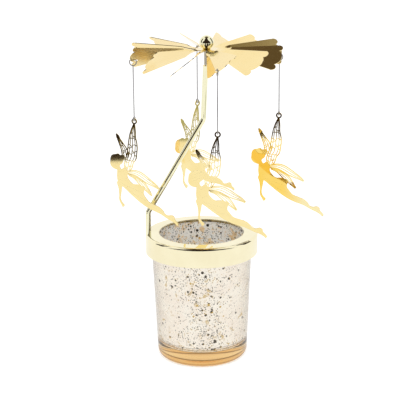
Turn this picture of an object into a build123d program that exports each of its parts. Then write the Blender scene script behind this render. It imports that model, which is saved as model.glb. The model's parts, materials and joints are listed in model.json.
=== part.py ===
from build123d import *
from math import cos, radians, sin, sqrt, tan
import os

os.makedirs("parts", exist_ok=True)

# Angel chime carousel, in millimetres. The origin is on the cup's axis, on the face that the cup
# stands on, with +Z up and -Y towards the viewer. The rotor's axis stands a little to +X of it.

# One overrun for every cut that passes right through
overrun = 1.0
up = Vector(0, 0, 1)

# Glass cup
cup_height = 73.0
cup_rim_radius = 29.0
cup_foot_radius = 25.7
cup_wall = 2.6
cup_floor = 9.0
heel_radius = 4.2
floor_corner_radius = 2.6
rim_rounding = 0.9

# Ring on the cup's rim, an L in section: a flat flange with a band hanging from its edge
ring_overhang = 3.0
ring_lip = 4.9
ring_band_height = 11.3
ring_sheet = 0.7
ring_corner_radius = 1.2

# Arm: a bent round rod with a rivet at its foot and a needle in its upper end
rod_radius = 1.5
arm_azimuth = 187.0
arm_edge_inset = 0.2
arm_leg_height = 12.9
arm_upper_leg_height = 30.35
arm_lean = 2.8
arm_bend_radius = 4.5
arm_end_rounding = 0.25
rivet_radius = 0.6
rivet_head_radius = 0.9
rivet_head_height = 0.5

# The rotor's axis, and how far above the ring the point is that it turns on
axis_offset = 3.6
pivot_rise = 107.6
needle_radius = 0.4
needle_tip_radius = 0.05
needle_point_length = 1.2
needle_socket_depth = 5.0
needle_point_gap = 0.12

# Ball finial and the bearing in it
ball_radius = 4.0
ball_rise = 0.8
ball_seat_radius = 1.75
bearing_height = 1.6
bearing_dimple_radius = 0.9
bearing_dimple_depth = 0.75
bearing_dimple_tip_radius = 0.08

# Hub sleeve under the rotor disc, with a collar that the disc is clamped on
sleeve_radius = 1.5
sleeve_wall = 0.38
sleeve_length = 8.3
sleeve_gap = 0.4
collar_radius = 2.3
collar_height = 0.45
fit_clearance = 0.01

# Rotor disc: one sheet, slit into blades that are twisted at their necks, each a little differently
rotor_sheet = 0.35
hub_radius = 6.2
first_blade_azimuth = 11.2
blade_twists = (38.0, 37.0, 37.0, 38.0, 38.0, 37.0, 43.0, 45.0, 38.0, 37.0, 35.0, 34.0)
blade_half_angle = 13.6
blade_droop = 4.6
neck_root_inset = 0.8
neck_end = 13.5
neck_steps = 4
middle_lobe_centre = 36.2
middle_lobe_radius = 6.5
corner_lobe_centre = 39.3
corner_lobe_radius = 2.1

# Hanger wires: an eye over the blade's edge, a straight shank, and a loop through the charm's eyelet
wire_radius = 0.3
eye_radius = 1.9
eye_drop = 0.7
eye_edge_clearance = 0.5
eye_hole_radius = 1.0
eye_blade_offset = 3.3
loop_radius = 1.1
hanger_length = 33.0

# Fairy charms, etched sheet: each hangs from the eyelet at the tip of its tall wing
charm_sheet = 0.35
charm_span = 43.0
charm_drop = 57.5
eyelet_radius = 1.7
eyelet_hole_radius = 0.9
head_length = 7.6
head_width = 6.2
head_tilt = 25.0
vein_width = 0.42
rung_width = 0.5

# The blade that each charm hangs from, counted from the first, and the azimuth its feet point to
stations = {
    "right": (0, -15.0),
    "back": (3, 33.0),
    "left": (6, -25.0),
    "front": (9, 0.0),
}


def export(part, name):
    """Labels a finished sub-part and writes it."""
    part.label = name
    export_step(part, "parts/" + name + ".step")


def heading(azimuth):
    """The level direction at an azimuth in degrees, anticlockwise from +X seen from above."""
    return Vector(cos(radians(azimuth)), sin(radians(azimuth)), 0)


# Glass cup: one revolved section, rounded at its heel, its rim and its inner corner
wall_slope = (cup_rim_radius - cup_foot_radius) / cup_height
cup_inner_foot = cup_foot_radius + wall_slope * cup_floor - cup_wall
with BuildPart() as glass_cup:
    with BuildSketch(Plane.XZ) as cup_section:
        with BuildLine():
            Polyline(
                (0, 0),
                (cup_foot_radius, 0),
                (cup_rim_radius, cup_height),
                (cup_rim_radius - cup_wall, cup_height),
                (cup_inner_foot, cup_floor),
                (0, cup_floor),
                close=True,
            )
        make_face()
        corner_rows = cup_section.vertices().group_by(Axis.Y)
        heel_corner = corner_rows[0].sort_by(Axis.X)[-1]
        floor_corner = corner_rows[1].sort_by(Axis.X)[-1]
        fillet(heel_corner, heel_radius)
        fillet(floor_corner, floor_corner_radius)
        fillet(corner_rows[-1], rim_rounding)
    revolve(axis=Axis.Z)
export(glass_cup.part, "glass_cup")

# Rim ring: the flange lies on the cup's rim and the band hangs clear of the glass
ring_radius = cup_rim_radius + ring_overhang
ring_opening_radius = cup_rim_radius - ring_lip
ring_top = cup_height + ring_sheet
band_bottom = ring_top - ring_band_height
arm_foot_radius = ring_radius - rod_radius - arm_edge_inset
arm_foot = heading(arm_azimuth) * arm_foot_radius
with BuildPart() as rim_ring:
    with BuildSketch(Plane.XZ) as ring_section:
        with BuildLine():
            Polyline(
                (ring_opening_radius, cup_height),
                (ring_opening_radius, ring_top),
                (ring_radius, ring_top),
                (ring_radius, band_bottom),
                (ring_radius - ring_sheet, band_bottom),
                (ring_radius - ring_sheet, cup_height),
                close=True,
            )
        make_face()
        top_corners = ring_section.vertices().group_by(Axis.Y)[-1].sort_by(Axis.X)
        fillet(top_corners[-1], ring_corner_radius)
    revolve(axis=Axis.Z)
    with Locations((arm_foot.X, arm_foot.Y, ring_top)):
        Hole(rivet_radius + fit_clearance, ring_sheet + overrun)
export(rim_ring.part, "rim_ring")

# Heights that follow from the pivot: the ball is centred a little above it and sits on the disc
pivot_height = ring_top + pivot_rise
ball_height = pivot_height + ball_rise
disc_top = ball_height - sqrt(ball_radius**2 - ball_seat_radius**2)
disc_bottom = disc_top - rotor_sheet
sleeve_bottom = disc_bottom - sleeve_length
arm_top = sleeve_bottom - sleeve_gap
bearing_bottom = pivot_height - bearing_dimple_depth
bearing_top = bearing_bottom + bearing_height
arm_upper_bend = arm_top - arm_upper_leg_height

# Support arm: the rod runs up in the plane of its foot and the rotor's axis
rotor_axis = Vector(axis_offset, 0, 0)
arm_reach = (rotor_axis - arm_foot).length
arm_along = (rotor_axis - arm_foot).normalized()
arm_plane = Plane(origin=arm_foot + up * ring_top, x_dir=arm_along, z_dir=arm_along.cross(up))


def leaning_leg(height):
    """How far along the arm's plane its leaning upper leg is, at a height above the base."""
    return arm_reach - (pivot_height - height) * tan(radians(arm_lean))


arm_end = arm_foot + arm_along * leaning_leg(arm_top) + up * arm_top
lean_direction = arm_along * sin(radians(arm_lean)) + up * cos(radians(arm_lean))
needle_plane = Plane(origin=arm_end, z_dir=lean_direction)
with BuildPart() as support_arm:
    with BuildLine(arm_plane) as arm_route:
        FilletPolyline(
            (0, 0),
            (0, arm_leg_height),
            (leaning_leg(arm_upper_bend), arm_upper_bend - ring_top),
            (leaning_leg(arm_top), arm_top - ring_top),
            radius=arm_bend_radius,
        )
    with BuildSketch(Plane(origin=arm_plane.origin)):
        Circle(rod_radius)
    sweep(path=arm_route.line)
    chamfer(support_arm.edges().sort_by(Axis.Z)[-1], arm_end_rounding)
    with Locations(Plane(origin=arm_foot + up * ring_top)):
        Cylinder(rivet_radius, ring_sheet, align=(Align.CENTER, Align.CENTER, Align.MAX))
    with Locations(Plane(origin=arm_foot + up * cup_height)):
        Cylinder(
            rivet_head_radius,
            rivet_head_height,
            align=(Align.CENTER, Align.CENTER, Align.MAX),
        )
    with Locations(needle_plane):
        Cylinder(
            needle_radius + fit_clearance,
            needle_socket_depth,
            align=(Align.CENTER, Align.CENTER, Align.MAX),
            mode=Mode.SUBTRACT,
        )
export(support_arm.part, "support_arm")

# Pivot needle: set into the arm's end, with its point on the rotor's axis
needle_reach = (pivot_height - needle_point_gap - arm_top) / cos(radians(arm_lean))
with BuildPart() as pivot_needle:
    with Locations(needle_plane.offset(-needle_socket_depth)):
        Cylinder(
            needle_radius,
            needle_socket_depth + needle_reach - needle_point_length,
            align=(Align.CENTER, Align.CENTER, Align.MIN),
        )
    with Locations(needle_plane.offset(needle_reach - needle_point_length)):
        Cone(
            needle_radius,
            needle_tip_radius,
            needle_point_length,
            align=(Align.CENTER, Align.CENTER, Align.MIN),
        )
export(pivot_needle.part, "pivot_needle")

# Ball finial: a bored ball whose cut bottom sits on the rotor disc
with BuildPart(Plane(origin=rotor_axis)) as ball_finial:
    with Locations((0, 0, ball_height)):
        Sphere(ball_radius)
    with Locations((0, 0, disc_top)):
        Cylinder(
            ball_radius,
            ball_radius,
            align=(Align.CENTER, Align.CENTER, Align.MAX),
            mode=Mode.SUBTRACT,
        )
        Cylinder(
            sleeve_radius + fit_clearance,
            bearing_top - disc_top,
            align=(Align.CENTER, Align.CENTER, Align.MIN),
            mode=Mode.SUBTRACT,
        )
export(ball_finial.part, "ball_finial")

# Bearing cup: fills the end of the ball's bore and rides on the needle's point
with BuildPart(Plane(origin=rotor_axis)) as bearing_cup:
    with Locations((0, 0, bearing_bottom)):
        Cylinder(
            sleeve_radius,
            bearing_height,
            align=(Align.CENTER, Align.CENTER, Align.MIN),
        )
        Cone(
            bearing_dimple_radius,
            bearing_dimple_tip_radius,
            bearing_dimple_depth,
            align=(Align.CENTER, Align.CENTER, Align.MIN),
            mode=Mode.SUBTRACT,
        )
export(bearing_cup.part, "bearing_cup")

# Hub sleeve: a tube around the needle, pushed up through the disc into the ball
with BuildPart(Plane(origin=rotor_axis)) as hub_sleeve:
    with Locations((0, 0, sleeve_bottom)):
        Cylinder(
            sleeve_radius,
            bearing_bottom - sleeve_bottom,
            align=(Align.CENTER, Align.CENTER, Align.MIN),
        )
    with Locations((0, 0, disc_bottom)):
        Cylinder(collar_radius, collar_height, align=(Align.CENTER, Align.CENTER, Align.MAX))
    with Locations((0, 0, bearing_bottom)):
        Hole(sleeve_radius - sleeve_wall, bearing_bottom - sleeve_bottom + overrun)
export(hub_sleeve.part, "hub_sleeve")

# Rotor blades, each made as it points along +X from the rotor's own centre
slant = tan(radians(blade_half_angle))
neck_root = hub_radius - neck_root_inset
blade_along = Vector(cos(radians(blade_droop)), 0, -sin(radians(blade_droop)))
blade_up = Vector(sin(radians(blade_droop)), 0, cos(radians(blade_droop)))
root_point = Vector(neck_root, 0, 0)


def twisted(angle):
    """The direction across a blade once it is twisted by an angle about its own length."""
    return Vector(0, 1, 0) * cos(radians(angle)) + blade_up * sin(radians(angle))


def blade_plane(twist):
    """The plane of a blade past its neck, with +X along the blade and +Y towards its raised edge."""
    return Plane(
        origin=root_point - blade_along * neck_root,
        x_dir=blade_along,
        z_dir=blade_along.cross(twisted(twist)),
    )


edge = heading(blade_half_angle)
corner_lobe_side = (corner_lobe_centre * edge.Y - corner_lobe_radius) / edge.X
edge_end = (corner_lobe_centre * edge.X + corner_lobe_side * edge.Y) * edge.X
blades = []
for twist in blade_twists:
    with BuildPart() as blade:
        for step in range(neck_steps + 1):
            run = (neck_end - neck_root) * step / neck_steps
            cross_plane = Plane(
                origin=root_point + blade_along * run,
                x_dir=twisted(twist * step / neck_steps),
                z_dir=blade_along,
            )
            with BuildSketch(cross_plane):
                Rectangle(2 * slant * (neck_root + run), rotor_sheet)
        loft(ruled=True)
        with BuildSketch(blade_plane(twist)):
            Polygon(
                (neck_end, -slant * neck_end),
                (edge_end, -slant * edge_end),
                (edge_end, slant * edge_end),
                (neck_end, slant * neck_end),
                align=None,
            )
            with Locations((middle_lobe_centre, 0)):
                Circle(middle_lobe_radius)
            with Locations((corner_lobe_centre, corner_lobe_side), (corner_lobe_centre, -corner_lobe_side)):
                Circle(corner_lobe_radius)
        extrude(amount=rotor_sheet / 2, both=True)
    blades.append(blade.part)

# Where a hanger's eye goes through its blade and over the blade's edge
eye_reach = sqrt(eye_radius**2 - eye_drop**2)
blade_edge = middle_lobe_centre + sqrt(middle_lobe_radius**2 - eye_blade_offset**2)
eye_station = blade_edge - eye_reach + wire_radius + eye_edge_clearance
eye_hole = eye_station - eye_reach
blade_step = 360 / len(blade_twists)


def blade_turn(number):
    """The turn about the rotor's axis that brings a blade from +X to its own azimuth."""
    return Rotation(0, 0, first_blade_azimuth + number * blade_step)


def blade_spot(number, along):
    """A place on a blade's low side, at a distance along the blade, seen from the rotor's centre."""
    return blade_turn(number) * blade_plane(blade_twists[number]).location * Pos(along, -eye_blade_offset, 0)


# Rotor disc: the hub and its blades, in one sheet
disc_middle = disc_top - rotor_sheet / 2
rotor_plane = Plane(origin=rotor_axis + up * disc_middle)
with BuildPart(rotor_plane) as rotor_disc:
    Cylinder(hub_radius, rotor_sheet)
    for number, blade_part in enumerate(blades):
        with Locations(blade_turn(number)):
            add(blade_part)
    for blade_number, feet_azimuth in stations.values():
        with Locations(blade_spot(blade_number, eye_hole)):
            Cylinder(eye_hole_radius, rotor_sheet + overrun, mode=Mode.SUBTRACT)
    Hole(sleeve_radius + fit_clearance)
export(rotor_disc.part, "rotor_disc")

# The fairy's outline, in shares of the charm's span and of its drop below the eyelet
front_shares = [
    (-0.253, -0.483),
    (-0.277, -0.548),
    (-0.238, -0.638),
    (-0.072, -0.728),
    (0.098, -0.810),
    (0.288, -0.887),
    (0.464, -0.950),
    (0.612, -1.000),
]
calf_shares = [
    (0.612, -1.000),
    (0.566, -0.945),
    (0.451, -0.890),
    (0.340, -0.831),
    (0.188, -0.768),
    (0.130, -0.715),
]
skirt_shares = [
    (0.130, -0.715),
    (0.120, -0.680),
    (0.145, -0.650),
]
back_shares = [
    (0.145, -0.650),
    (0.023, -0.624),
    (-0.056, -0.592),
    (-0.126, -0.520),
    (-0.160, -0.470),
]
hair_shares = [
    (-0.365, -0.388),
    (-0.330, -0.348),
    (-0.262, -0.338),
    (-0.200, -0.362),
    (-0.140, -0.352),
    (-0.172, -0.405),
    (-0.245, -0.450),
    (-0.330, -0.438),
]
neck_shares = [(-0.295, -0.435), (-0.235, -0.435), (-0.200, -0.487), (-0.252, -0.500)]
arm_outer_shares = [
    (-0.268, -0.552),
    (-0.262, -0.670),
    (-0.254, -0.752),
    (-0.210, -0.812),
    (-0.178, -0.838),
]
arm_inner_shares = [
    (-0.165, -0.826),
    (-0.192, -0.798),
    (-0.226, -0.744),
    (-0.222, -0.670),
    (-0.205, -0.600),
]
head_shares = (-0.288, -0.414)

# Each wing's two edges, from its root to its tip, and how many cells lie across it between points
tall_wing_shares = (
    [
        (-0.148, -0.487),
        (-0.132, -0.420),
        (-0.117, -0.350),
        (-0.100, -0.282),
        (-0.080, -0.218),
        (-0.057, -0.155),
        (-0.034, -0.095),
        (-0.014, -0.026),
    ],
    [
        (-0.098, -0.502),
        (-0.032, -0.448),
        (0.032, -0.378),
        (0.054, -0.302),
        (0.054, -0.230),
        (0.045, -0.165),
        (0.031, -0.104),
        (0.014, -0.026),
    ],
)
tall_wing_cell_counts = (1, 3, 4, 4, 3, 2, 1)
short_wing_shares = (
    [
        (-0.177, -0.383),
        (-0.193, -0.299),
        (-0.226, -0.237),
        (-0.256, -0.177),
        (-0.281, -0.122),
    ],
    [
        (-0.119, -0.383),
        (-0.108, -0.300),
        (-0.166, -0.228),
        (-0.219, -0.170),
        (-0.267, -0.118),
    ],
)
short_wing_cell_counts = (0, 3, 2, 0)
upper_tail_wing_shares = (
    [
        (-0.121, -0.490),
        (0.022, -0.497),
        (0.144, -0.536),
        (0.252, -0.588),
        (0.348, -0.648),
    ],
    [
        (-0.112, -0.525),
        (0.023, -0.562),
        (0.121, -0.598),
        (0.228, -0.630),
        (0.336, -0.658),
    ],
)
upper_tail_wing_cell_counts = (2, 3, 3, 1)
lower_tail_wing_shares = (
    [
        (-0.112, -0.525),
        (0.023, -0.562),
        (0.121, -0.598),
        (0.191, -0.647),
        (0.249, -0.710),
    ],
    [
        (-0.098, -0.550),
        (0.007, -0.595),
        (0.088, -0.643),
        (0.160, -0.685),
        (0.235, -0.718),
    ],
)
lower_tail_wing_cell_counts = (0, 2, 2, 1)


def charm_point(share):
    """A point of the charm from its shares of the span and the drop."""
    return Vector(share[0] * charm_span, share[1] * charm_drop, 0)


def charm_points(shares):
    """The points of a line of the charm from their shares."""
    return [charm_point(share) for share in shares]


def wing_blank(edges):
    """The solid outline of one wing, drawn into the sketch in hand."""
    left, right = charm_points(edges[0]), charm_points(edges[1])
    Polygon(*left, *reversed(right), align=None)


def wing_cells(edges, cell_counts):
    """The open cells of one wing, cut from the sketch in hand, with veins and rungs left between."""
    left, right = charm_points(edges[0]), charm_points(edges[1])
    for row, cells in enumerate(cell_counts):
        rung = rung_width / 2 / (left[row + 1] - left[row]).length
        ends = []
        for share in (rung, 1 - rung):
            near = left[row] + (left[row + 1] - left[row]) * share
            far = right[row] + (right[row + 1] - right[row]) * share
            ends.append((near, far))
        for cell in range(cells):
            corners = []
            for near, far in ends:
                across = far - near
                vein = vein_width / across.length
                first = near + across * (vein + cell * (1 - vein) / cells)
                last = near + across * ((cell + 1) * (1 - vein) / cells)
                corners.append((first, last))
            (first, last), (next_first, next_last) = corners
            Polygon(first, last, next_last, next_first, align=None, mode=Mode.SUBTRACT)


# Fairy silhouette, flat, with the eyelet's centre at the origin and the feet towards +X
wings = [
    (tall_wing_shares, tall_wing_cell_counts),
    (short_wing_shares, short_wing_cell_counts),
    (upper_tail_wing_shares, upper_tail_wing_cell_counts),
    (lower_tail_wing_shares, lower_tail_wing_cell_counts),
]
with BuildSketch() as fairy_wings:
    for edges, cell_counts in wings:
        wing_blank(edges)
    for edges, cell_counts in wings:
        wing_cells(edges, cell_counts)
with BuildSketch() as fairy_outline:
    with BuildLine():
        Spline(*charm_points(front_shares))
        Spline(*charm_points(calf_shares))
        Spline(*charm_points(skirt_shares))
        Spline(*charm_points(back_shares))
        Line(charm_point(back_shares[-1]), charm_point(front_shares[0]))
    make_face()
    with BuildLine():
        Spline(*charm_points(hair_shares), periodic=True)
    make_face()
    with BuildLine():
        Polyline(*charm_points(neck_shares), close=True)
    make_face()
    with BuildLine():
        Spline(*charm_points(arm_outer_shares))
        Line(charm_point(arm_outer_shares[-1]), charm_point(arm_inner_shares[0]))
        Spline(*charm_points(arm_inner_shares))
        Line(charm_point(arm_inner_shares[-1]), charm_point(arm_outer_shares[0]))
    make_face()
    with Locations(Location(charm_point(head_shares), (0, 0, head_tilt))):
        Ellipse(head_length / 2, head_width / 2)
    add(fairy_wings.sketch)
    Circle(eyelet_radius)
    Circle(eyelet_hole_radius, mode=Mode.SUBTRACT)

# Hangers and fairies, one of each at every station
eyelet_rim = (eyelet_radius + eyelet_hole_radius) / 2
for place, (blade_number, feet_azimuth) in stations.items():
    spot = blade_spot(blade_number, eye_station).position
    outward = Vector(spot.X, spot.Y, 0).normalized()
    eye_centre = rotor_plane.origin + spot - up * eye_drop
    eyelet_centre = eye_centre - up * hanger_length
    loop_centre = eyelet_centre + up * eyelet_rim
    feet = heading(feet_azimuth)
    shank = hanger_length - eye_radius - eyelet_rim - loop_radius
    with BuildPart() as hanger:
        with Locations(Plane(origin=eye_centre, x_dir=outward, z_dir=outward.cross(up))):
            Torus(eye_radius, wire_radius)
        with Locations(Plane(origin=loop_centre, x_dir=up, z_dir=feet)):
            Torus(loop_radius, wire_radius)
        with Locations(Plane(origin=loop_centre + up * loop_radius)):
            Cylinder(wire_radius, shank, align=(Align.CENTER, Align.CENTER, Align.MIN))
    export(hanger.part, "hanger_" + place)
    with BuildPart(Plane(origin=eyelet_centre, x_dir=feet, z_dir=feet.cross(up))) as fairy:
        add(fairy_outline.sketch)
        extrude(amount=charm_sheet / 2, both=True)
    export(fairy.part, "fairy_" + place)
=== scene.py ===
import json
from math import cos, pi, radians, sin, sqrt, tan

import bmesh
import bpy
from mathutils import Matrix, Vector


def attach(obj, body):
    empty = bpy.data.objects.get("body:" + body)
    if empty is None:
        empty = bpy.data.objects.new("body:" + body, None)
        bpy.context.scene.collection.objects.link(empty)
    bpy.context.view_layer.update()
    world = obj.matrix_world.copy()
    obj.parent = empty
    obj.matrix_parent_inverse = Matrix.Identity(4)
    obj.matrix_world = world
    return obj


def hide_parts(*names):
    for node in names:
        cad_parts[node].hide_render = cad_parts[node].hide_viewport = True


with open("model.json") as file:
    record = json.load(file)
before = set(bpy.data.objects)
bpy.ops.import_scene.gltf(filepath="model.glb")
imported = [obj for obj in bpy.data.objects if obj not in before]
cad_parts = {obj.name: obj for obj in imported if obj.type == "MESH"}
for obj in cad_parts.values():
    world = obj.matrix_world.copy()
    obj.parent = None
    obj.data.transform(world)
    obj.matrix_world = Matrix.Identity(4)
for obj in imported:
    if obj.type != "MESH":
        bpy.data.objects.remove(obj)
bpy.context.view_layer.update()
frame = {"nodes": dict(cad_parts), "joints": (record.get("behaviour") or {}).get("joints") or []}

mm = 0.001
up = Vector((0, 0, 1))
joints = {joint["name"]: joint for joint in frame["joints"]}

# Glass cup, in the sizes of the part
cup_height = 73.0 * mm
cup_rim_radius = 29.0 * mm
cup_foot_radius = 25.7 * mm
cup_wall = 2.6 * mm
cup_floor = 9.0 * mm
heel_radius = 4.2 * mm
floor_corner_radius = 2.6 * mm
rim_rounding = 0.9 * mm
recess_radius = 19.5 * mm
recess_depth = 0.9 * mm
recess_corner_rounding = 0.8 * mm
recess_edge_rounding = 0.3 * mm
lining_sink = 0.10 * mm
lining_stand = 0.03 * mm
lining_top_gap = 1.5 * mm
streak_core = 5.0 * mm
# How far above the floor the silvering's painted shade and painted refraction lines reach
painted_lines_height = 4.0 * mm
amber_reach = 1.4 * cup_floor
glass_dent = 0.05 * mm
wall_slope = (cup_rim_radius - cup_foot_radius) / cup_height
inner_foot = cup_foot_radius + wall_slope * cup_floor - cup_wall

# Rim ring
ring_radius = 32.0 * mm
ring_opening_radius = 24.1 * mm
ring_sheet = 0.7 * mm
ring_band_height = 11.3 * mm
ring_corner_radius = 1.6 * mm
ring_edge_rounding = 0.18 * mm
ring_top = cup_height + ring_sheet
band_bottom = ring_top - ring_band_height

# Support arm
rod_radius = 1.5 * mm
arm_azimuth = radians(187.0)
arm_edge_inset = 0.2 * mm
arm_leg_height = 12.9 * mm
arm_upper_leg_height = 30.35 * mm
arm_lean = radians(2.8)
arm_bend_radius = 4.5 * mm
arm_end_rounding = 0.25 * mm
rivet_radius = 0.6 * mm
rivet_head_radius = 0.9 * mm
rivet_head_height = 0.5 * mm
rivet_head_rounding = 0.3 * mm

# Rotor's axis and the pieces on it
pivot = joints["rotor_spin"]["pos_m"]
axis_offset = pivot[0]
pivot_height = pivot[2]
ball_rise = 0.8 * mm
ball_height = pivot_height + ball_rise
ball_radius = 4.0 * mm
ball_seat_radius = 1.75 * mm
disc_top = ball_height - sqrt(ball_radius**2 - ball_seat_radius**2)
rotor_sheet = 0.35 * mm
sleeve_radius = 1.5 * mm
sleeve_wall = 0.38 * mm
sleeve_length = 8.3 * mm
sleeve_gap = 0.4 * mm
collar_radius = 2.3 * mm
collar_height = 0.45 * mm
collar_rounding = 0.12 * mm
sleeve_lip_outer_rounding = 0.15 * mm
sleeve_lip_inner_rounding = 0.1 * mm
bearing_dimple_depth = 0.75 * mm
sleeve_bottom = disc_top - rotor_sheet - sleeve_length
arm_top = sleeve_bottom - sleeve_gap
arm_upper_bend = arm_top - arm_upper_leg_height

# Steps round a turned piece or along a bend, the distance within which vertices are one,
# and the angle above which an edge stays sharp
turned_steps = 160
ring_steps = 200
small_steps = 48
tube_steps = 64
bend_steps = 14
merge_distance = 0.0001 * mm
sharp_angle = radians(32)


def paint(name):
    """A new material: its tree, its surface shader and the object's own coordinates."""
    finish = bpy.data.materials.new(name)
    finish.use_nodes = True
    tree = finish.node_tree
    shader = tree.nodes["Principled BSDF"]
    place = tree.nodes.new("ShaderNodeTexCoord").outputs["Object"]
    return finish, tree, shader, place


def wired(tree, kind, links=(), **values):
    """A node of one kind with its sockets filled: links by socket name, values by attribute or socket."""
    node = tree.nodes.new(kind)
    for key, value in values.items():
        if hasattr(node, key):
            setattr(node, key, value)
        else:
            node.inputs[key].default_value = value
    for socket, source in dict(links).items():
        tree.links.new(source, node.inputs[socket])
    return node


def noise(tree, place, scale, detail=3.0, roughness=0.5, distortion=0.0):
    """A noise pattern's value, at so many features to the metre."""
    node = wired(tree, "ShaderNodeTexNoise", {"Vector": place})
    node.inputs["Scale"].default_value = scale
    node.inputs["Detail"].default_value = detail
    node.inputs["Roughness"].default_value = roughness
    node.inputs["Distortion"].default_value = distortion
    return node.outputs["Fac"]


def ramp(tree, value, *stops):
    """Colours along a value: each stop is a place from 0 to 1 and a colour or a grey."""
    node = wired(tree, "ShaderNodeValToRGB", {"Fac": value})
    steps = node.color_ramp.elements
    while len(steps) < len(stops):
        steps.new(0.5)
    for step, (place, shade) in zip(steps, stops):
        step.position = place
        step.color = (*shade, 1) if hasattr(shade, "__len__") else (shade, shade, shade, 1)
    return node.outputs["Color"]


def measured(tree, value, start, end, low=0.0, high=1.0):
    """A value between two marks, made to run from low to high and held there outside them."""
    node = wired(tree, "ShaderNodeMapRange", {"Value": value})
    node.inputs["From Min"].default_value = start
    node.inputs["From Max"].default_value = end
    node.inputs["To Min"].default_value = low
    node.inputs["To Max"].default_value = high
    return node.outputs["Result"]


def spread(tree, value, low, high):
    """A value from 0 to 1 made to run from low to high."""
    return measured(tree, value, 0.0, 1.0, low, high)


def mixed(tree, share, under, over):
    """One colour over another by a mask."""
    node = wired(tree, "ShaderNodeMix", data_type="RGBA")
    tree.links.new(share, node.inputs["Factor"])
    for socket, shade in ((node.inputs[6], under), (node.inputs[7], over)):
        if hasattr(shade, "__len__"):
            socket.default_value = (*shade, 1)
        else:
            tree.links.new(shade, socket)
    return node.outputs[2]


def reckoned(tree, operation, first, second=0.0):
    """A value worked out from one other or from two; the second may be a number."""
    node = wired(tree, "ShaderNodeMath", {0: first}, operation=operation)
    if isinstance(second, (int, float)):
        node.inputs[1].default_value = second
    else:
        tree.links.new(second, node.inputs[1])
    return node.outputs[0]


def part_of(tree, place, axis):
    """One coordinate of a place."""
    return wired(tree, "ShaderNodeSeparateXYZ", {0: place}).outputs[axis]


def dent(tree, shader, height, depth):
    """Dents a surface by a pattern, to a depth."""
    bump = wired(tree, "ShaderNodeBump", {"Height": height})
    bump.inputs["Distance"].default_value = depth
    tree.links.new(bump.outputs["Normal"], shader.inputs["Normal"])


def sheen_metal(name, pale, deep, roughness, dent_depth=0.0):
    """A plated metal: a tone that drifts between two, fine grain in its gloss, and a faint unevenness."""
    finish, tree, shader, place = paint(name)
    shader.inputs["Metallic"].default_value = 1.0
    tone = ramp(tree, noise(tree, place, 70.0, 4.0), (0.35, deep), (0.65, pale))
    tree.links.new(tone, shader.inputs["Base Color"])
    grain = noise(tree, place, 900.0, 4.0, 0.6)
    tree.links.new(spread(tree, grain, roughness * 0.7, roughness * 1.4), shader.inputs["Roughness"])
    if dent_depth:
        dent(tree, shader, noise(tree, place, 45.0, 1.0), dent_depth)
    return finish


def meshed(bm, name):
    """Makes an object of a mesh in hand and puts it in the scene."""
    mesh = bpy.data.meshes.new(name)
    bm.to_mesh(mesh)
    bm.free()
    made = bpy.data.objects.new(name, mesh)
    bpy.context.scene.collection.objects.link(made)
    return made


def piece(bm, name, body, finishes, slot, *stands_for):
    """Makes a finished piece of a mesh and lets it ride on its body, in the place of CAD nodes."""
    made = meshed(bm, name)
    made.data.shade_smooth()
    made.data.set_sharp_from_angle(angle=sharp_angle)
    flatter = made.modifiers.new("flat_faces_stay_flat", "WEIGHTED_NORMAL")
    flatter.keep_sharp = True
    for finish in finishes:
        made.data.materials.append(finish)
    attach(made, body)
    if stands_for:
        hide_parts(*stands_for)
    return made


def section(corners, roundings):
    """A mesh with one flat face in the XZ plane: its corners, each rounded by its own radius."""
    bm = bmesh.new()
    for radius, height in corners:
        bm.verts.new((radius, 0, height))
    bm.faces.new(bm.verts)
    bm.verts.ensure_lookup_table()
    for corner, rounding in zip(bm.verts[:], roundings):
        if rounding:
            bmesh.ops.bevel(
                bm,
                geom=[corner],
                affect="VERTICES",
                offset=rounding,
                segments=8,
                profile=0.5,
                material=-1,
            )
    return bm


def turn(bm, steps=turned_steps):
    """Spins a section about the upright axis into a closed skin."""
    bmesh.ops.delete(bm, geom=bm.faces[:], context="FACES_ONLY")
    on_axis = [e for e in bm.edges if all(abs(v.co.x) < merge_distance for v in e.verts)]
    bmesh.ops.delete(bm, geom=on_axis, context="EDGES")
    bmesh.ops.spin(
        bm,
        geom=bm.verts[:] + bm.edges[:],
        cent=(0, 0, 0),
        axis=up,
        angle=2 * pi,
        steps=steps,
        use_merge=True,
    )
    bmesh.ops.remove_doubles(bm, verts=bm.verts, dist=merge_distance)
    bmesh.ops.recalc_face_normals(bm, faces=bm.faces)


# Cup and lining
def cup_glass_finish():
    """Clear glass that deepens to amber where it is thick, with painted light and dark refraction bands in
    its foot.
    """
    finish, tree, shader, place = paint("amber_glass")
    level = measured(tree, part_of(tree, place, "Z"), 0.0, amber_reach)
    # The amber is the glass's own tint. The dark line from 0.40 to 0.43, the grey line at 0.68 and the
    # paler bands between them are painted refraction of the floor's edge and the heel.
    foot = ramp(
        tree,
        level,
        (0.0, (0.97, 0.93, 0.84)),
        (0.10, (0.96, 0.89, 0.74)),
        (0.18, (0.89, 0.66, 0.34)),
        (0.37, (0.92, 0.71, 0.40)),
        (0.40, (0.16, 0.09, 0.03)),
        (0.43, (0.16, 0.09, 0.03)),
        (0.46, (1.0, 0.96, 0.84)),
        (0.62, (0.97, 0.92, 0.80)),
        (0.68, (0.80, 0.72, 0.62)),
        (0.82, (0.90, 0.85, 0.78)),
        (0.95, (1.0, 0.99, 0.97)),
    )
    tree.links.new(foot, shader.inputs["Base Color"])
    shader.inputs["Transmission Weight"].default_value = 1.0
    shader.inputs["IOR"].default_value = 1.5
    dent(tree, shader, noise(tree, place, 60.0, 2.0), glass_dent)
    tree.links.new(spread(tree, noise(tree, place, 300.0), 0.0, 0.04), shader.inputs["Roughness"])
    body = wired(tree, "ShaderNodeVolumeAbsorption")
    body.inputs["Color"].default_value = (0.93, 0.66, 0.12, 1)
    body.inputs["Density"].default_value = 27.0
    tree.links.new(body.outputs["Volume"], tree.nodes["Material Output"].inputs["Volume"])
    return finish


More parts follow.
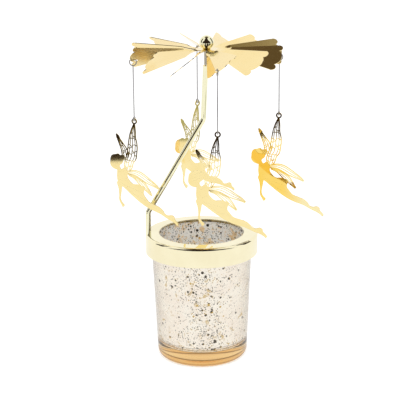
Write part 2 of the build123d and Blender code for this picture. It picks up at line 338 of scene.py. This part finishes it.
def pits(tree, place, scale, share, size):
    """Round specks, so many to the metre, in a share of the cells and up to a size in cells."""
    cells = wired(tree, "ShaderNodeTexVoronoi", {"Vector": place})
    cells.inputs["Scale"].default_value = scale
    pick = wired(tree, "ShaderNodeSeparateColor", {0: cells.outputs["Color"]})
    chosen = reckoned(tree, "LESS_THAN", pick.outputs[0], share)
    reach = reckoned(tree, "MULTIPLY", pick.outputs[1], size)
    near = reckoned(tree, "LESS_THAN", cells.outputs["Distance"], reach)
    return reckoned(tree, "MULTIPLY", chosen, near)


def silvering_finish(
    name,
    silver,
    haze,
    speck,
    gold,
    gold_from,
    crowding,
    streak_reach,
    metallic,
    dent_depth,
):
    """Old mirror silvering: pale, finely pitted, with specks where it has gone and gold blotches.

    The pits crowd in an upright streak, from its middle out to its reach to either side. It is darkened in
    the corner at the floor's edge and along a thin line above it: painted shade and painted refraction
    lines.
    """
    finish, tree, shader, place = paint(name)
    cloud = noise(tree, place, 90.0, 5.0, 0.6)
    base = ramp(tree, cloud, (0.38, silver), (0.62, haze))
    blotches = noise(tree, place, 200.0, 4.0, 0.65, 0.4)
    gold_mask = ramp(tree, blotches, (gold_from, 0.0), (gold_from + 0.06, 0.7))
    toned = mixed(tree, gold_mask, base, gold)

    patches = ramp(tree, noise(tree, place, 42.0, 2.0, 0.5, 0.5), (0.34, 0.45), (0.64, 1.0))
    off_middle = reckoned(tree, "ABSOLUTE", part_of(tree, place, "X"))
    streak = measured(tree, off_middle, streak_core, streak_reach, crowding, crowding * 0.06)
    share = reckoned(tree, "MULTIPLY", patches, streak)
    fine = pits(tree, place, 1500.0, share, 0.52)
    coarse = pits(tree, place, 620.0, reckoned(tree, "MULTIPLY", share, 0.30), 0.56)
    gone = reckoned(tree, "MAXIMUM", fine, coarse)
    speck_tone = ramp(tree, noise(tree, place, 420.0, 1.0), (0.52, speck), (0.62, gold))
    pitted = mixed(tree, gone, toned, speck_tone)

    # Painted shade and painted refraction lines: dark in the corner at the floor's edge and along a thin
    # line a little above it
    level = measured(tree, part_of(tree, place, "Z"), cup_floor, cup_floor + painted_lines_height)
    painted_corner_lines = ramp(
        tree,
        level,
        (0.0, 0.9),
        (0.10, 0.9),
        (0.16, 0.0),
        (0.66, 0.0),
        (0.72, 0.75),
        (0.78, 0.0),
    )
    tree.links.new(mixed(tree, painted_corner_lines, pitted, speck), shader.inputs["Base Color"])
    shader.inputs["Metallic"].default_value = metallic
    tree.links.new(spread(tree, cloud, 0.16, 0.34), shader.inputs["Roughness"])
    dent(tree, shader, noise(tree, place, 700.0, 3.0, 0.6), dent_depth)
    return finish


def glass_cup():
    """The cup's glass: a thick floor and a wall that flares a little."""
    bm = section(
        [
            (0, recess_depth),
            (recess_radius - 2 * recess_depth, recess_depth),
            (recess_radius, 0),
            (cup_foot_radius, 0),
            (cup_rim_radius, cup_height),
            (cup_rim_radius - cup_wall, cup_height),
            (inner_foot, cup_floor),
            (0, cup_floor),
        ],
        [
            0,
            recess_corner_rounding,
            recess_edge_rounding,
            heel_radius,
            rim_rounding,
            rim_rounding,
            floor_corner_radius,
            0,
        ],
    )
    turn(bm)
    return piece(bm, "cup_glass_body", "cup", [cup_glass_finish()], "cup_glass", "glass_cup")


def cup_lining():
    """The silvering on the inside of the glass, a thin skin from the floor to just under the rim.

    It has one finish where the glass shows its back, one inside the cup, and one under the floor.
    """
    top = cup_height - lining_top_gap
    inner_top = inner_foot + (top - cup_floor) * wall_slope
    bm = section(
        [
            (0, cup_floor - lining_sink),
            (inner_foot + lining_sink, cup_floor - lining_sink),
            (inner_top + lining_sink, top),
            (inner_top - lining_stand, top),
            (inner_foot - lining_stand, cup_floor + lining_stand),
            (0, cup_floor + lining_stand),
        ],
        [0, floor_corner_radius + lining_sink, 0, 0, floor_corner_radius - lining_stand, 0],
    )
    turn(bm)
    for face in bm.faces:
        middle = face.calc_center_median()
        inward = face.normal.dot(Vector((middle.x, middle.y, 0))) < -1e-9
        if face.normal.z < -0.9:
            face.material_index = 2
        else:
            face.material_index = 1 if inward or face.normal.z > 0.5 else 0
    outside = silvering_finish(
        "silvering_through_glass",
        silver=(1.0, 0.985, 0.955),
        haze=(1.0, 0.95, 0.905),
        speck=(0.07, 0.055, 0.035),
        gold=(0.64, 0.46, 0.15),
        gold_from=0.60,
        crowding=1.15,
        streak_reach=23.0 * mm,
        metallic=1.0,
        dent_depth=0.05 * mm,
    )
    inside = silvering_finish(
        "silvering_inside",
        silver=(1.0, 0.985, 0.95),
        haze=(0.96, 0.92, 0.85),
        speck=(0.03, 0.025, 0.02),
        gold=(0.86, 0.56, 0.20),
        gold_from=0.55,
        crowding=2.0,
        streak_reach=90.0 * mm,
        metallic=0.0,
        dent_depth=0.15 * mm,
    )
    under = sheen_metal("base_gilding", (0.95, 0.74, 0.38), (0.88, 0.60, 0.24), 0.25)
    return piece(bm, "cup_silvering", "cup", [outside, inside, under], "cup_glass")


def painted_leg_highlight(finish, start, end, pale):
    """Paints a highlight on a charm: lets its gold fade along X to a paler tone between two places."""
    tree = finish.node_tree
    shader = tree.nodes["Principled BSDF"]
    deep = shader.inputs["Base Color"].links[0].from_socket
    place = wired(tree, "ShaderNodeTexCoord").outputs["Object"]
    along = measured(tree, part_of(tree, place, "X"), start, end)
    tree.links.new(mixed(tree, along, deep, pale), shader.inputs["Base Color"])


# Metals: the name, a paler and a deeper tone, the roughness and the depth of the dents
gold_sheet = sheen_metal("pale_gold_plate", (0.97, 0.90, 0.64), (0.93, 0.85, 0.58), 0.03, 0.015 * mm)
gold_rod = sheen_metal("gold_rod_plate", (0.95, 0.92, 0.66), (0.90, 0.86, 0.60), 0.03)
tube_metal = sheen_metal("dull_tube", (0.60, 0.56, 0.46), (0.45, 0.41, 0.33), 0.30)
steel_wire = sheen_metal("bright_wire", (0.44, 0.43, 0.43), (0.30, 0.29, 0.29), 0.22)
rotor_gold = sheen_metal("rotor_gold", (0.98, 0.80, 0.42), (0.96, 0.76, 0.37), 0.12, 0.05 * mm)
charm_gold = sheen_metal("charm_gold", (0.98, 0.82, 0.42), (0.95, 0.77, 0.36), 0.04, 0.01 * mm)
# The right fairy's copy of the charm gold, deeper and more orange: a painted reflection of the front
# fairy's gold.
charm_gold_painted_reflection = sheen_metal("charm_gold_painted_reflection", (0.99, 0.72, 0.20), (0.97, 0.65, 0.11), 0.04, 0.01 * mm)
# Painted highlight: the right fairy's gold turns paler down its legs.
painted_leg_highlight(charm_gold_painted_reflection, 46.0 * mm, 58.0 * mm, (0.96, 0.83, 0.46))


# Ring and arm
def rim_ring():
    """The ring on the rim: a flange and a hanging band of one sheet, its edges broken."""
    bm = section(
        [
            (ring_opening_radius, cup_height),
            (ring_radius - ring_sheet, cup_height),
            (ring_radius - ring_sheet, band_bottom),
            (ring_radius, band_bottom),
            (ring_radius, ring_top),
            (ring_opening_radius, ring_top),
        ],
        [
            ring_edge_rounding,
            ring_corner_radius - ring_sheet,
            ring_edge_rounding,
            ring_edge_rounding,
            ring_corner_radius,
            ring_edge_rounding,
        ],
    )
    turn(bm, steps=ring_steps)
    return piece(bm, "rim_ring_plated", "stand", [gold_sheet], "gold_sheet", "rim_ring")


def drawn_out(bm, rim, shift):
    """Draws a rim of a tube on by a shift, and gives the new rim."""
    made = bmesh.ops.extrude_edge_only(bm, edges=rim)["geom"]
    verts = [g for g in made if isinstance(g, bmesh.types.BMVert)]
    bmesh.ops.translate(bm, verts=verts, vec=shift)
    new = set(verts)
    return [g for g in made if isinstance(g, bmesh.types.BMEdge) and set(g.verts) <= new]


def bent(bm, rim, centre, axis, angle):
    """Bends a rim of a tube round a centre, and gives the new rim."""
    ends = {v for e in rim for v in e.verts}
    spun = bmesh.ops.spin(bm, geom=rim + list(ends), cent=centre, axis=axis, angle=angle, steps=bend_steps)
    return [g for g in spun["geom_last"] if isinstance(g, bmesh.types.BMEdge)]


def rod_foot(height):
    """The middle of the rod's foot on the flange, at a height."""
    reach = ring_radius - rod_radius - arm_edge_inset
    return Vector((cos(arm_azimuth) * reach, sin(arm_azimuth) * reach, height))


def support_arm():
    """The bent rod, from the flange up to the end that holds the needle."""
    foot = rod_foot(ring_top)
    along = Vector((axis_offset, 0, 0)) - Vector((foot.x, foot.y, 0))
    reach = along.length
    along.normalize()

    def leg_point(height):
        return foot + along * (reach - (pivot_height - height) * tan(arm_lean)) + up * (height - ring_top)

    corners = [foot, foot + up * arm_leg_height, leg_point(arm_upper_bend), leg_point(arm_top)]
    bm = bmesh.new()
    bmesh.ops.create_circle(bm, cap_ends=True, radius=rod_radius, segments=40)
    bmesh.ops.translate(bm, verts=bm.verts, vec=foot)
    rim = bm.edges[:]
    at = foot
    for before, corner, after in zip(corners, corners[1:], corners[2:]):
        incoming = (corner - before).normalized()
        outgoing = (after - corner).normalized()
        angle = incoming.angle(outgoing)
        tangent = arm_bend_radius * tan(angle / 2)
        start = corner - incoming * tangent
        rim = drawn_out(bm, rim, start - at)
        axis = incoming.cross(outgoing).normalized()
        centre = start + axis.cross(incoming) * arm_bend_radius
        rim = bent(bm, rim, centre, axis, angle)
        at = corner + outgoing * tangent
    last = (corners[-1] - at).normalized()
    rim = drawn_out(bm, rim, corners[-1] - at - last * arm_end_rounding)
    rim = drawn_out(bm, rim, last * arm_end_rounding)
    tip = {v for e in rim for v in e.verts}
    shrink = 1 - arm_end_rounding / rod_radius
    middle = Matrix.Translation(-corners[-1])
    bmesh.ops.scale(bm, verts=list(tip), vec=(shrink, shrink, 1), space=middle)
    bmesh.ops.contextual_create(bm, geom=rim)
    bmesh.ops.remove_doubles(bm, verts=bm.verts, dist=merge_distance)
    bmesh.ops.recalc_face_normals(bm, faces=bm.faces)
    return piece(bm, "support_rod", "stand", [gold_rod], "gold_rod", "support_arm")


def rivet():
    """The round-headed end of the rod under the flange, with its stem through the flange."""
    bm = section(
        [
            (0, cup_height - rivet_head_height),
            (rivet_head_radius, cup_height - rivet_head_height),
            (rivet_head_radius, cup_height),
            (rivet_radius, cup_height),
            (rivet_radius, ring_top),
            (0, ring_top),
        ],
        [0, rivet_head_rounding, 0, 0, 0, 0],
    )
    turn(bm, steps=small_steps)
    bmesh.ops.translate(bm, verts=bm.verts, vec=rod_foot(0))
    return piece(bm, "rod_rivet", "stand", [gold_rod], "gold_rod")


def hub_sleeve():
    """The thin tube round the needle, with a collar under the rotor and a lightly rounded lower lip."""
    disc_bottom = disc_top - rotor_sheet
    bore = sleeve_radius - sleeve_wall
    sleeve_top = pivot_height - bearing_dimple_depth
    bm = section(
        [
            (bore, sleeve_bottom),
            (sleeve_radius, sleeve_bottom),
            (sleeve_radius, disc_bottom - collar_height),
            (collar_radius, disc_bottom - collar_height),
            (collar_radius, disc_bottom),
            (sleeve_radius, disc_bottom),
            (sleeve_radius, sleeve_top),
            (bore, sleeve_top),
        ],
        [
            sleeve_lip_inner_rounding,
            sleeve_lip_outer_rounding,
            0,
            collar_rounding,
            collar_rounding,
            0,
            0,
            0,
        ],
    )
    turn(bm, steps=tube_steps)
    bmesh.ops.translate(bm, verts=bm.verts, vec=(axis_offset, 0, 0))
    return piece(bm, "hub_sleeve_tube", "rotor", [tube_metal], "tube_metal", "hub_sleeve")


def ball_finial():
    """The polished ball, flat where it sits on the rotor."""
    bm = bmesh.new()
    bmesh.ops.create_uvsphere(bm, u_segments=96, v_segments=64, radius=ball_radius)
    bmesh.ops.translate(bm, verts=bm.verts, vec=(axis_offset, 0, ball_height))
    cut = bmesh.ops.bisect_plane(
        bm,
        geom=bm.verts[:] + bm.edges[:] + bm.faces[:],
        plane_co=(axis_offset, 0, disc_top),
        plane_no=up,
        clear_inner=True,
    )
    seat_edge = [g for g in cut["geom_cut"] if isinstance(g, bmesh.types.BMEdge)]
    bmesh.ops.contextual_create(bm, geom=seat_edge)
    return piece(bm, "ball_polished", "rotor", [gold_rod], "gold_rod", "ball_finial")


# Charms: their sizes and outlines, in shares of the span and of the drop below the eyelet
sides = ("right", "back", "left", "front")
eyelet_hang = 0.2 * mm
charm_span = 43.0 * mm
charm_drop = 57.5 * mm
charm_sheet = 0.35 * mm
charm_edge = 0.05 * mm
eyelet_radius = 1.7 * mm
eyelet_hole_radius = 0.9 * mm
eyelet_inset = 0.01 * mm
outline_width = 0.60 * mm
vein_width = 0.42 * mm
cross_vein_width = 0.40 * mm
drawn_line_width = 0.22 * mm

# How much thinner than the sheet each layer of a charm is, so that no two faces lie in one plane,
# and how much thicker the drawn lines are
hair_step = 0.03 * mm
arm_step = 0.02 * mm
wing_tip_step = 0.05 * mm
outline_step = 0.04 * mm
vein_step = 0.06 * mm
cross_vein_step = 0.08 * mm
drawn_line_stand = 0.05 * mm

body_shares = [
    (-0.262, -0.490),
    (-0.270, -0.530),
    (-0.270, -0.590),
    (-0.248, -0.640),
    (-0.185, -0.668),
    (-0.100, -0.718),
    (0.000, -0.775),
    (0.100, -0.824),
    (0.200, -0.860),
    (0.340, -0.895),
    (0.450, -0.936),
    (0.530, -0.962),
    (0.572, -0.983),
    (0.598, -0.998),
    (0.612, -0.985),
    (0.596, -0.962),
    (0.566, -0.938),
    (0.553, -0.908),
    (0.518, -0.896),
    (0.470, -0.902),
    (0.428, -0.894),
    (0.396, -0.862),
    (0.345, -0.832),
    (0.275, -0.812),
    (0.195, -0.790),
    (0.148, -0.752),
    (0.118, -0.718),
    (0.122, -0.684),
    (0.136, -0.652),
    (0.085, -0.636),
    (0.030, -0.626),
    (-0.035, -0.626),
    (-0.080, -0.600),
    (-0.115, -0.560),
    (-0.112, -0.520),
    (-0.130, -0.486),
    (-0.165, -0.472),
    (-0.205, -0.490),
    (-0.232, -0.466),
]
hair_shares = [
    (-0.255, -0.498),
    (-0.305, -0.494),
    (-0.345, -0.478),
    (-0.367, -0.450),
    (-0.366, -0.412),
    (-0.358, -0.376),
    (-0.332, -0.353),
    (-0.290, -0.345),
    (-0.245, -0.337),
    (-0.215, -0.350),
    (-0.180, -0.344),
    (-0.150, -0.362),
    (-0.172, -0.396),
    (-0.188, -0.430),
    (-0.222, -0.452),
    (-0.232, -0.478),
]
arm_shares = [
    (-0.262, -0.610),
    (-0.252, -0.700),
    (-0.247, -0.760),
    (-0.250, -0.796),
    (-0.236, -0.830),
    (-0.214, -0.856),
    (-0.200, -0.874),
    (-0.178, -0.868),
    (-0.172, -0.850),
    (-0.194, -0.834),
    (-0.218, -0.806),
    (-0.224, -0.780),
    (-0.214, -0.730),
    (-0.203, -0.680),
    (-0.196, -0.620),
]
drawn_line_shares = [
    [(-0.358, -0.420), (-0.328, -0.385), (-0.285, -0.378), (-0.235, -0.366), (-0.180, -0.362)],
    [(-0.360, -0.450), (-0.333, -0.420), (-0.285, -0.408), (-0.240, -0.394), (-0.190, -0.388)],
    [(-0.320, -0.462), (-0.300, -0.440), (-0.255, -0.430), (-0.220, -0.412)],
    [(-0.262, -0.508), (-0.215, -0.520), (-0.165, -0.505)],
    [(-0.262, -0.590), (-0.200, -0.604), (-0.130, -0.580)],
    [(-0.200, -0.640), (-0.080, -0.668), (0.020, -0.690), (0.110, -0.712)],
    [(-0.150, -0.668), (-0.030, -0.730), (0.080, -0.762), (0.150, -0.785)],
]
tall_wing_left_shares = [
    (-0.148, -0.492),
    (-0.160, -0.440),
    (-0.142, -0.390),
    (-0.118, -0.340),
    (-0.106, -0.290),
    (-0.096, -0.240),
    (-0.084, -0.190),
    (-0.070, -0.140),
    (-0.048, -0.090),
    (-0.008, -0.026),
]
tall_wing_right_shares = [
    (-0.086, -0.505),
    (-0.050, -0.470),
    (-0.030, -0.420),
    (0.010, -0.378),
    (0.026, -0.320),
    (0.034, -0.255),
    (0.028, -0.205),
    (0.015, -0.165),
    (0.013, -0.100),
    (0.004, -0.026),
]
short_wing_left_shares = [
    (-0.168, -0.400),
    (-0.188, -0.340),
    (-0.198, -0.295),
    (-0.222, -0.245),
    (-0.248, -0.195),
    (-0.270, -0.140),
]
short_wing_right_shares = [
    (-0.110, -0.380),
    (-0.098, -0.322),
    (-0.122, -0.278),
    (-0.165, -0.236),
    (-0.215, -0.188),
    (-0.262, -0.138),
]
upper_tail_top_shares = [
    (-0.120, -0.505),
    (-0.010, -0.490),
    (0.070, -0.500),
    (0.150, -0.532),
    (0.220, -0.568),
    (0.290, -0.605),
    (0.345, -0.645),
]
upper_tail_foot_shares = [
    (-0.115, -0.530),
    (-0.020, -0.535),
    (0.060, -0.562),
    (0.125, -0.590),
    (0.185, -0.610),
    (0.265, -0.630),
    (0.340, -0.652),
]
lower_tail_top_shares = [
    (-0.110, -0.530),
    (0.000, -0.550),
    (0.080, -0.580),
    (0.140, -0.610),
    (0.180, -0.650),
    (0.212, -0.690),
    (0.238, -0.724),
]
lower_tail_foot_shares = [
    (-0.100, -0.545),
    (-0.030, -0.566),
    (0.020, -0.598),
    (0.070, -0.634),
    (0.120, -0.665),
    (0.175, -0.697),
    (0.228, -0.728),
]


def charm_line(curve, shares, closed):
    """A smooth line through points given in shares, added to a curve.

    The tilt by half a right angle lays the square section of a rib flat in the sheet.
    """
    line = curve.splines.new("BEZIER")
    line.bezier_points.add(len(shares) - 1)
    for knot, (across, down) in zip(line.bezier_points, shares):
        knot.co = (across * charm_span, down * charm_drop, 0)
        knot.handle_left_type = knot.handle_right_type = "AUTO"
        knot.tilt = pi / 4
    line.use_cyclic_u = closed
    line.resolution_u = 4


def add_curve(bm, curve, thickness=1.0):
    """Adds a curve's mesh to a mesh in hand, thinned or thickened across the sheet."""
    drawn = bpy.data.objects.new("drawn", curve)
    bpy.context.scene.collection.objects.link(drawn)
    graph = bpy.context.evaluated_depsgraph_get()
    mesh = bpy.data.meshes.new_from_object(drawn.evaluated_get(graph))
    mesh.transform(Matrix.Diagonal((1, 1, thickness, 1)))
    bm.from_mesh(mesh)
    bpy.data.objects.remove(drawn)
    bpy.data.curves.remove(curve)
    bpy.data.meshes.remove(mesh)


def add_plate(bm, outlines, sheet):
    """Adds a cut sheet with lightly broken edges; an outline inside another one is an opening."""
    curve = bpy.data.curves.new("plate", "CURVE")
    curve.dimensions = "2D"
    curve.fill_mode = "BOTH"
    curve.bevel_depth = charm_edge
    curve.bevel_resolution = 0
    curve.offset = -charm_edge
    curve.extrude = sheet / 2 - charm_edge
    for shares in outlines:
        charm_line(curve, shares, True)
    add_curve(bm, curve)


def add_ribs(bm, lines, width, sheet):
    """Adds flat ribs of one width along lines, as thick as a sheet."""
    curve = bpy.data.curves.new("ribs", "CURVE")
    curve.dimensions = "3D"
    curve.twist_mode = "Z_UP"
    curve.bevel_depth = width / sqrt(2)
    curve.bevel_resolution = 0
    curve.use_fill_caps = True
    for shares in lines:
        charm_line(curve, shares, False)
    add_curve(bm, curve, sheet / width)


def between(first, second, share):
    """The points part of the way from one line of shares to another."""
    return [(a + (c - a) * share, b + (d - b) * share) for (a, b), (c, d) in zip(first, second)]


def along_line(line, place):
    """The point at a place along a line of shares, counted in its own points."""
    index = min(int(place), len(line) - 2)
    return between(line[index : index + 1], line[index + 1 : index + 2], place - index)[0]


def wing_lace(left, right, veins, rows):
    """A wing's long veins and the slanting cross veins between them, never in straight rows."""
    spacing = [(n + 0.18 * sin(5.0 * n)) / veins for n in range(veins + 1)]
    long_veins = [between(left, right, share) for share in spacing[1:-1]]
    rails = [left] + long_veins + [right]
    cross_veins = []
    for column, (near, far) in enumerate(zip(rails, rails[1:])):
        for row in range(rows):
            start = (row + 0.5 + 0.33 * sin(7.0 * column + 2.1 * row)) * (len(left) - 2.2) / rows
            end = start + 0.35 * cos(3.0 * column + 4.0 * row)
            if end > 0:
                cross_veins.append([along_line(near, start), along_line(far, end)])
    return long_veins, cross_veins


def fairy(side, finish):
    """One hanging fairy of sheet metal: body, hair and arm as plates, lace wings, and drawn lines."""
    half = charm_sheet / 2 - eyelet_inset
    bm = section(
        [
            (eyelet_hole_radius, -half),
            (eyelet_radius, -half),
            (eyelet_radius, half),
            (eyelet_hole_radius, half),
        ],
        [0, 0, 0, 0],
    )
    turn(bm, steps=small_steps)
    add_plate(bm, [body_shares], charm_sheet)
    add_plate(bm, [hair_shares], charm_sheet - hair_step)
    add_plate(bm, [arm_shares], charm_sheet - arm_step)
    tip_shares = short_wing_left_shares[4:] + short_wing_right_shares[:3:-1]
    add_plate(bm, [tip_shares], charm_sheet - wing_tip_step)
    for left, right, veins, rows in (
        (tall_wing_left_shares, tall_wing_right_shares, 4, 8),
        (short_wing_left_shares, short_wing_right_shares, 3, 5),
        (upper_tail_top_shares, upper_tail_foot_shares, 3, 0),
        (lower_tail_top_shares, lower_tail_foot_shares, 3, 0),
    ):
        long_veins, cross_veins = wing_lace(left, right, veins, rows)
        add_ribs(bm, [left, right], outline_width, charm_sheet - outline_step)
        add_ribs(bm, long_veins, vein_width, charm_sheet - vein_step)
        if cross_veins:
            add_ribs(bm, cross_veins, cross_vein_width, charm_sheet - cross_vein_step)
    add_ribs(bm, drawn_line_shares, drawn_line_width, charm_sheet + drawn_line_stand)
    bmesh.ops.remove_doubles(bm, verts=bm.verts, dist=merge_distance)
    bmesh.ops.recalc_face_normals(bm, faces=bm.faces)
    hinge = joints["fairy_" + side + "_rock"]
    out_of_sheet = -Vector(hinge["axis"])
    feet = up.cross(out_of_sheet)
    turned = Matrix((feet, up, out_of_sheet)).transposed().to_4x4()
    eyelet = Vector(hinge["pos_m"]) - up * eyelet_hang
    bmesh.ops.transform(bm, verts=bm.verts, matrix=Matrix.Translation(eyelet) @ turned)
    return piece(bm, "fairy_" + side + "_cut", "fairy_" + side, [finish], "gold_charm", "fairy_" + side)


def finished(node, finish):
    """Gives a part's own mesh its finish."""
    cad = frame["nodes"][node]
    cad.data.materials.clear()
    cad.data.materials.append(finish)


glass_cup()
cup_lining()
rim_ring()
support_arm()
rivet()
hub_sleeve()
ball_finial()
finished("pivot_needle", steel_wire)
finished("bearing_cup", tube_metal)
finished("rotor_disc", rotor_gold)
for side in sides:
    finished("hanger_" + side, steel_wire)
    # The right fairy takes the copy of the gold with the painted reflection.
    fairy(side, charm_gold_painted_reflection if side == "right" else charm_gold)


# Studio: a pale floor, soft white surroundings, and the dark parts of the room that polish picks up.
# Its sizes and places are in metres, and the camera's focal length is in millimetres.
floor_reach = 6.0
gap_height = 0.001
seam_radius = 0.95
seam_bottom = 0.11
seam_top = 1.2
tent_wall = -0.85
tent_foot = 0.07
tent_foot_reach = 2.3
tent_peak = 1.05
tent_peak_left = -0.75
tent_peak_right = 0.55
tent_seam_end = 0.15
tent_seam_top = 1.75
tent_seam_half = 0.02
grey_start = 0.1
grey_end = 0.5
room_dark = (0.03, 0.02, 0.015)
room_grey = (0.45, 0.47, 0.33)
swept_steps = 32
lamp_aim = 0.09
ceiling_tilt = radians(82)
ceiling_reach = radians(30)
focal_length = 118.2
camera_place = Vector((-0.71, -714.4, 299.1)) * mm
camera_tip = radians(16.14)
camera_roll = -0.0085


def floor():
    """The pale table top, plain white to the camera but for the object's own shadow."""
    bm = bmesh.new()
    bmesh.ops.create_grid(bm, x_segments=1, y_segments=1, size=floor_reach)
    made = meshed(bm, "floor")
    finish, tree, shader, _ = paint("floor_white")
    shader.inputs["Base Color"].default_value = (0.9, 0.9, 0.9, 1)
    shader.inputs["Roughness"].default_value = 0.9
    shader.inputs["Specular IOR Level"].default_value = 0.0
    ray = tree.nodes.new("ShaderNodeLightPath")
    straight = reckoned(tree, "MULTIPLY", ray.outputs["Is Camera Ray"], 0.5)
    glow = wired(tree, "ShaderNodeEmission", {"Strength": straight})
    lit = wired(tree, "ShaderNodeAddShader", {0: shader.outputs[0], 1: glow.outputs[0]})
    white = wired(tree, "ShaderNodeEmission")
    polish = reckoned(tree, "MAXIMUM", ray.outputs["Is Glossy Ray"], ray.outputs["Is Transmission Ray"])
    both = wired(tree, "ShaderNodeMixShader", {0: polish, 1: lit.outputs[0], 2: white.outputs[0]})
    tree.links.new(both.outputs[0], tree.nodes["Material Output"].inputs["Surface"])
    made.data.materials.append(finish)


def dark_finish(name, shade, end_shade):
    """The flat tone of a dark part of the room, which may be paler towards its right-hand end."""
    finish, tree, _, place = paint(name)
    across = measured(tree, part_of(tree, place, "X"), grey_start, grey_end)
    tone = ramp(tree, across, (0.0, shade), (1.0, end_shade))
    glow = wired(tree, "ShaderNodeEmission", {"Color": tone})
    tree.links.new(glow.outputs[0], tree.nodes["Material Output"].inputs["Surface"])
    return finish


def room_part(bm, name, finish):
    """A part of the room that only polished surfaces see."""
    made = meshed(bm, name)
    made.data.materials.append(finish)
    for kind in ("camera", "diffuse", "transmission", "volume_scatter", "shadow"):
        setattr(made, "visible_" + kind, False)


def swept_part(name, first, last, start, end, finish):
    """A band of the room swept about the upright axis, from one azimuth in degrees to another.

    Its edges are each given by a radius and a height.
    """
    bm = bmesh.new()
    begin = radians(start)
    ends = []
    for radius, height in (first, last):
        ends.append(bm.verts.new((radius * cos(begin), radius * sin(begin), height)))
    edge = bm.edges.new(ends)
    sweep = radians(end - start)
    bmesh.ops.spin(bm, geom=ends + [edge], cent=(0, 0, 0), axis=up, angle=sweep, steps=swept_steps)
    room_part(bm, name, finish)


def table_gap(name, near, far, start, end, finish):
    """A dark gap at the table's edge, between two radii and two azimuths."""
    swept_part(name, (near, gap_height), (far, gap_height), start, end, finish)


def tent_seam(name, start, end, finish):
    """A dark upright seam of the white tent, between two azimuths."""
    swept_part(name, (seam_radius, seam_bottom), (seam_radius, seam_top), start, end, finish)


def tent_opening(finish):
    """The white tent's dark front opening, narrower at its top, with a seam that runs up from there."""
    bm = bmesh.new()
    left = bm.verts.new((tent_peak_left, tent_wall, tent_peak))
    right = bm.verts.new((tent_peak_right, tent_wall, tent_peak))
    foot = [bm.verts.new((x, tent_wall, tent_foot)) for x in (tent_foot_reach, -tent_foot_reach)]
    bm.faces.new([left, right] + foot)
    top = [bm.verts.new((x, tent_seam_end, tent_seam_top)) for x in (tent_seam_half, -tent_seam_half)]
    bm.faces.new([right, left] + top)
    room_part(bm, "tent_opening", finish)


def surroundings():
    """White all round; polished surfaces also see a dark ceiling overhead, a little to the back."""
    world = bpy.data.worlds.new("studio")
    bpy.context.scene.world = world
    world.use_nodes = True
    tree = world.node_tree
    tree.nodes.clear()
    ray = tree.nodes.new("ShaderNodeLightPath")
    way = wired(tree, "ShaderNodeTexCoord").outputs["Generated"]
    facing = wired(tree, "ShaderNodeVectorMath", {0: way}, operation="DOT_PRODUCT")
    facing.inputs[1].default_value = (0, cos(ceiling_tilt), sin(ceiling_tilt))
    off_ceiling = reckoned(tree, "ARCCOSINE", facing.outputs["Value"])
    room = ramp(
        tree,
        measured(tree, off_ceiling, 0.0, ceiling_reach),
        (0.0, (0.05, 0.035, 0.02)),
        (0.3, (0.11, 0.08, 0.045)),
        (17 / 30, (0.19, 0.155, 0.08)),
        (0.7, (0.6, 0.56, 0.45)),
        (0.8, (1, 1, 1)),
    )
    light = wired(tree, "ShaderNodeBackground", Color=(1, 1, 1, 1), Strength=0.7)
    white = wired(tree, "ShaderNodeBackground", Color=(1, 1, 1, 1))
    seen = wired(tree, "ShaderNodeBackground", {"Color": room})
    polish = wired(
        tree,
        "ShaderNodeMixShader",
        {0: ray.outputs["Is Glossy Ray"], 1: light.outputs[0], 2: seen.outputs[0]},
    )
    plain = reckoned(tree, "MAXIMUM", ray.outputs["Is Camera Ray"], ray.outputs["Is Transmission Ray"])
    both = wired(tree, "ShaderNodeMixShader", {0: plain, 1: polish.outputs[0], 2: white.outputs[0]})
    out = tree.nodes.new("ShaderNodeOutputWorld")
    tree.links.new(both.outputs[0], out.inputs["Surface"])


def soft_lamp(name, place, size, power):
    """A broad soft lamp aimed at half the object's height, which polish doesn't pick up."""
    lamp = bpy.data.lights.new(name, "AREA")
    lamp.size = size
    lamp.energy = power
    made = bpy.data.objects.new(name, lamp)
    bpy.context.scene.collection.objects.link(made)
    made.location = place
    made.rotation_mode = "QUATERNION"
    made.rotation_quaternion = (Vector(place) - up * lamp_aim).to_track_quat("Z", "Y")
    made.visible_glossy = False
    made.visible_transmission = False


def camera():
    """The photograph's viewpoint: straight ahead, a little above, and tipped down."""
    lens = bpy.data.cameras.new("camera")
    lens.sensor_width = 36.0
    lens.lens = focal_length
    lens.clip_start = 0.01
    lens.clip_end = 50.0
    made = bpy.data.objects.new("camera", lens)
    bpy.context.scene.collection.objects.link(made)
    place = Matrix.Translation(camera_place)
    tip = Matrix.Rotation(pi / 2 - camera_tip, 4, "X")
    roll = Matrix.Rotation(camera_roll, 4, "Z")
    made.matrix_world = place @ tip @ roll
    bpy.context.scene.camera = made


floor()
dark_all_along = dark_finish("room_dark", room_dark, room_dark)
dark_to_grey = dark_finish("room_dark_to_grey", room_dark, room_grey)
table_gap("table_gap_far_left", 0.487, 0.69, -165, -128, dark_all_along)
table_gap("table_gap_left", 0.505, 0.69, -128, -105, dark_all_along)
table_gap("table_gap_middle", 0.535, 0.69, -105, -86, dark_all_along)
table_gap("table_gap_right", 0.465, 0.655, -40, -15, dark_to_grey)
tent_seam("left_seam", -194, -172, dark_all_along)
tent_seam("right_seam", 2, 27, dark_all_along)
tent_opening(dark_all_along)
surroundings()
soft_lamp("key_lamp", (-0.05, -0.78, 0.62), 0.5, 4.2)
camera()
bpy.context.scene.view_settings.view_transform = "Standard"
